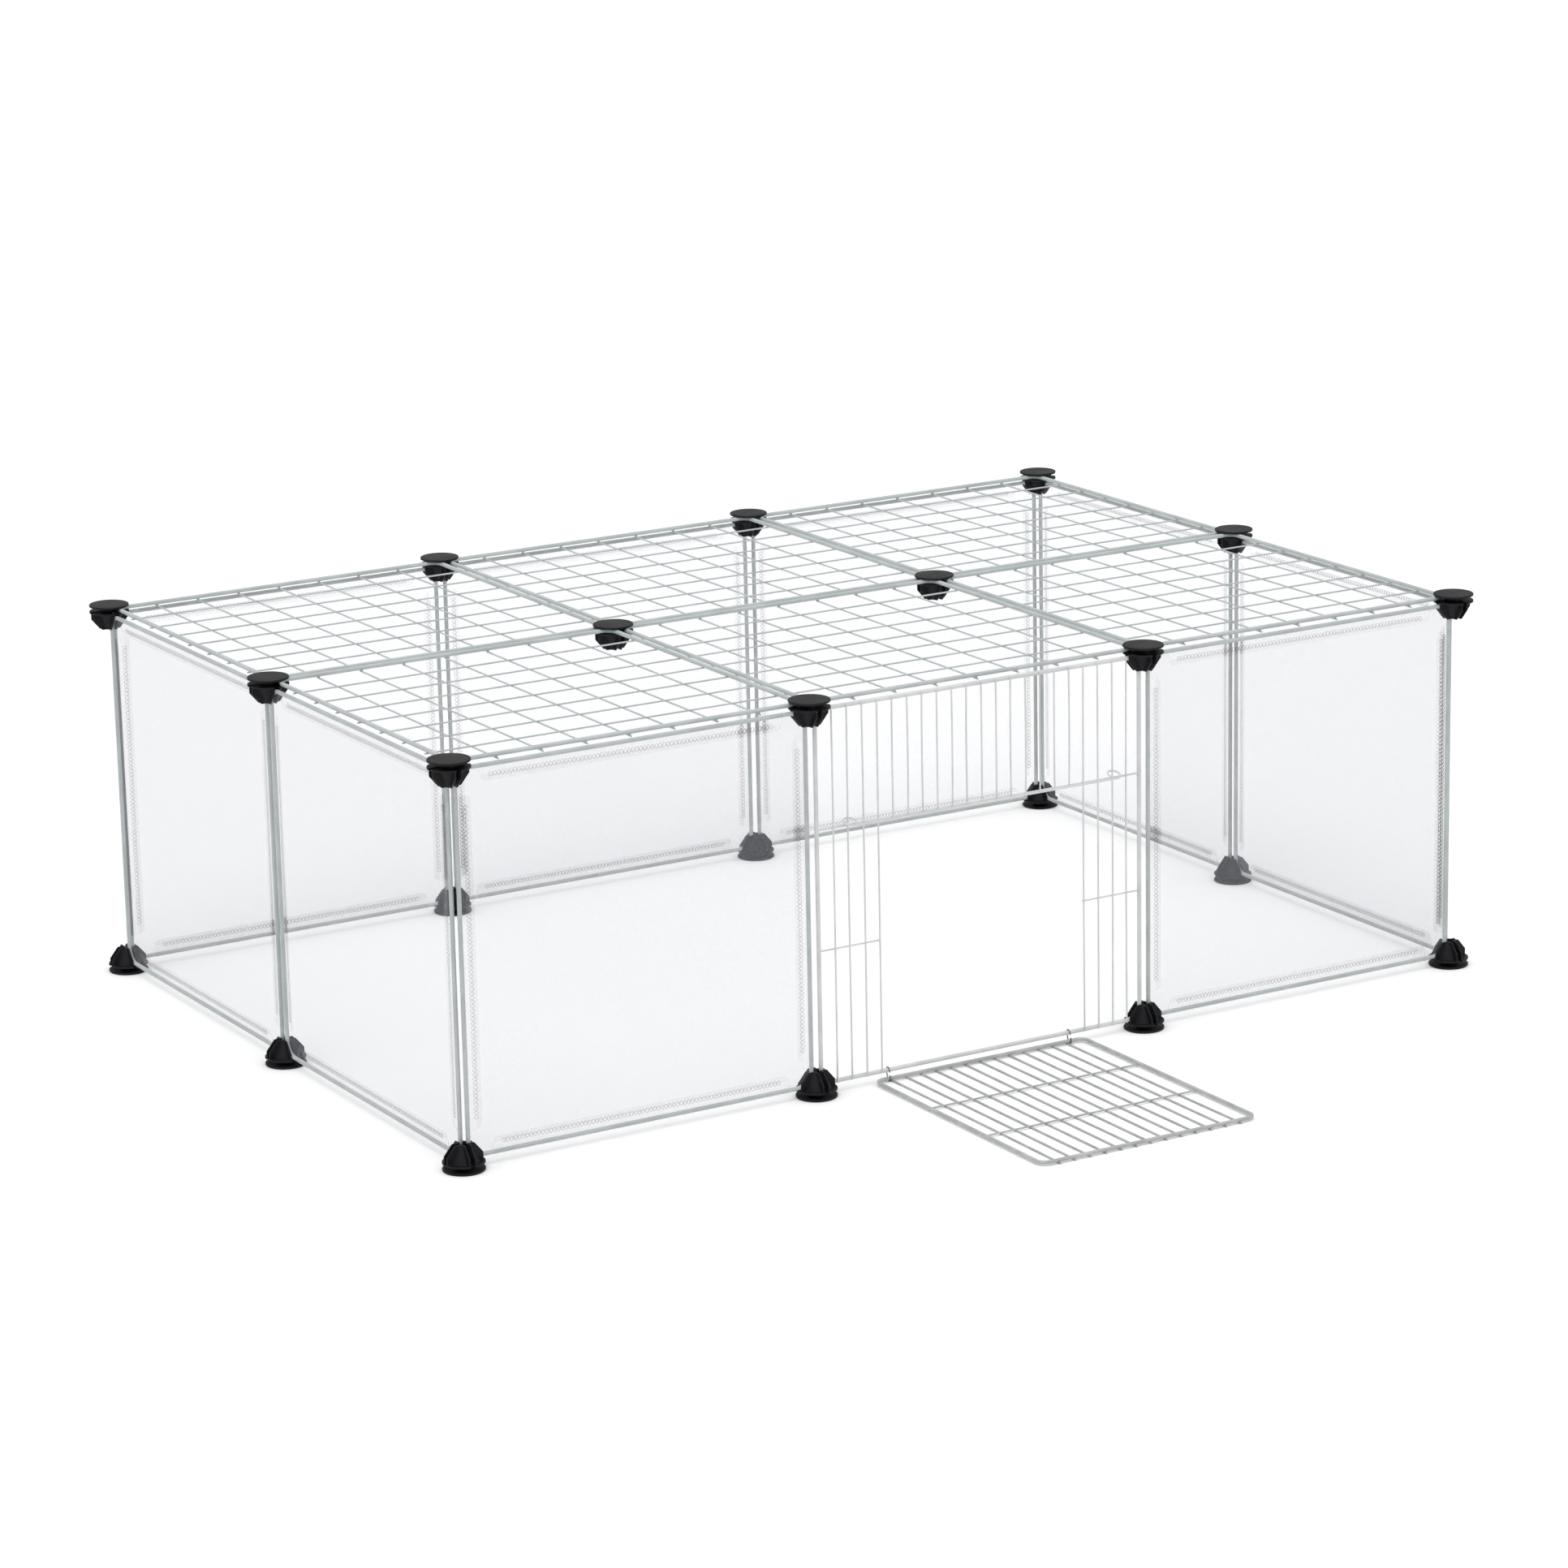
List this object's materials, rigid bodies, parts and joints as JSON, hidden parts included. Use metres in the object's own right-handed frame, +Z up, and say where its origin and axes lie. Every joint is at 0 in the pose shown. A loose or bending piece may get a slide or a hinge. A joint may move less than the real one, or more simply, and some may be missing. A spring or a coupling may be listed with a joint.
{
  "type": "wire rabbit cage",
  "caption": "Modular low pen of square wire panels clipped into moulded corner connectors, with frosted film walls, a wire grid roof, a drop-down door and a sliding bar latch.",
  "frame": {"origin": "middle of the outline on the floor, with the door open flat in front", "axes": "+X along the long front, left to right seen from the door side; +Y from the front to the back; +Z up"},
  "size_m": [1.106, 1.0082, 0.3672],
  "materials": {
    "connector_black": "satin moulded",
    "wire_grey": "powder-coated pale grey wire",
    "frosted_film": "translucent frosted plastic film",
    "wire_white": "powder-coated white-grey wire",
    "wire_bright": "plated wire"
  },
  "bodies": {
    "enclosure": {"door_panel": "wire_white", "foot_connector_back_1": "connector_black", "foot_connector_back_2": "connector_black", "foot_connector_back_3": "connector_black", "foot_connector_back_4": "connector_black", "foot_connector_front_1": "connector_black", "foot_connector_front_2": "connector_black", "foot_connector_front_3": "connector_black", "foot_connector_front_4": "connector_black", "foot_connector_middle_1": "connector_black", "foot_connector_middle_4": "connector_black", "roof_grid_back_1": "wire_grey", "roof_grid_back_2": "wire_grey", "roof_grid_back_3": "wire_grey", "roof_grid_front_1": "wire_grey", "roof_grid_front_2": "wire_grey", "roof_grid_front_3": "wire_grey", "top_connector_back_1": "connector_black", "top_connector_back_2": "connector_black", "top_connector_back_3": "connector_black", "top_connector_back_4": "connector_black", "top_connector_front_1": "connector_black", "top_connector_front_2": "connector_black", "top_connector_front_3": "connector_black", "top_connector_front_4": "connector_black", "top_connector_middle_1": "connector_black", "top_connector_middle_2": "connector_black", "top_connector_middle_3": "connector_black", "top_connector_middle_4": "connector_black", "wall_film_back_left": "frosted_film", "wall_film_back_middle": "frosted_film", "wall_film_back_right": "frosted_film", "wall_film_front_left": "frosted_film", "wall_film_front_right": "frosted_film", "wall_film_left_back": "frosted_film", "wall_film_left_front": "frosted_film", "wall_film_right_back": "frosted_film", "wall_film_right_front": "frosted_film", "wall_frame_back_left": "wire_grey", "wall_frame_back_middle": "wire_grey", "wall_frame_back_right": "wire_grey", "wall_frame_front_left": "wire_grey", "wall_frame_front_right": "wire_grey", "wall_frame_left_back": "wire_grey", "wall_frame_left_front": "wire_grey", "wall_frame_right_back": "wire_grey", "wall_frame_right_front": "wire_grey"},
    "door": {"door": "wire_white", "hinge_ring_left": "wire_bright", "hinge_ring_right": "wire_bright"},
    "latch": {"latch_bar": "wire_bright"}
  },
  "joints": [
    {"name": "door_hinge", "type": "hinge", "parent": "enclosure", "child": "door", "pos_m": [0, -0.22692, 0.0106], "axis": [-1, 0, 0], "range_deg": [0, 90]},
    {"name": "latch_slide", "type": "slide", "parent": "enclosure", "child": "latch", "axis": [0, 0, 1], "range_m": [0, 0.1]}
  ]
}
